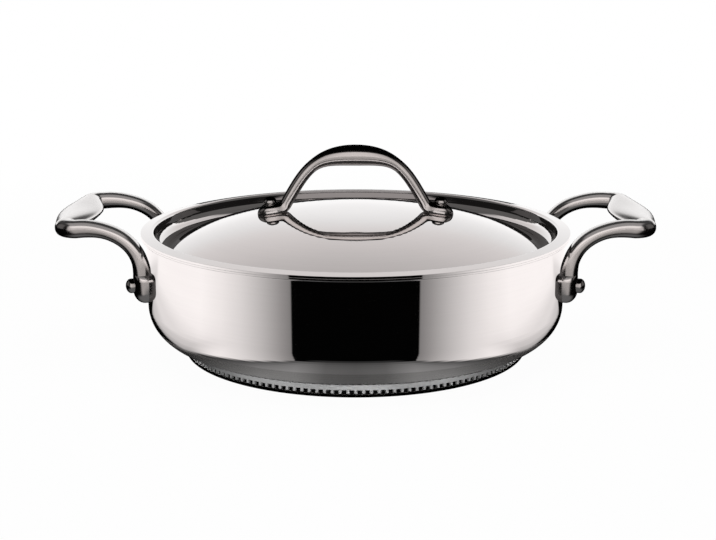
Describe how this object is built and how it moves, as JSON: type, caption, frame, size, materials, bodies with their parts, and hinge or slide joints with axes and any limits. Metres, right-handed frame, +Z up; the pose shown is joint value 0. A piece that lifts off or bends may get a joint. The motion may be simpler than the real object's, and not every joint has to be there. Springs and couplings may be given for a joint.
{
  "type": "lidded braising pan",
  "caption": "Low round steel braising pan on a bonded base, with two riveted loop side handles and a domed lid with a riveted arch handle.",
  "frame": {"origin": "centre of the underside of the base, on the surface that the pan stands on", "axes": "+Z up, X through both side handles, -Y towards the viewer of the picture"},
  "size_m": [0.348, 0.252, 0.1209],
  "materials": {
    "polished_steel": "mirror-polished stainless steel",
    "cast_steel": "polished cast stainless steel",
    "rivet_steel": "polished stainless steel",
    "core_aluminium": "bead-blasted aluminium",
    "plate_steel": "turned magnetic stainless steel"
  },
  "bodies": {
    "pan": {"pan_body": "polished_steel", "base_core": "core_aluminium", "base_plate": "plate_steel", "handle_left": "cast_steel", "handle_right": "cast_steel", "handle_rivet_left_front": "rivet_steel", "handle_rivet_left_rear": "rivet_steel", "handle_rivet_right_front": "rivet_steel", "handle_rivet_right_rear": "rivet_steel"},
    "lid": {"lid_shell": "polished_steel", "lid_handle": "cast_steel", "lid_rivet_left": "rivet_steel", "lid_rivet_right": "rivet_steel"}
  },
  "joints": [
    {"name": "lid_lift", "type": "slide", "parent": "pan", "child": "lid", "axis": [0, 0, 1], "range_m": [0, 0.12]}
  ]
}
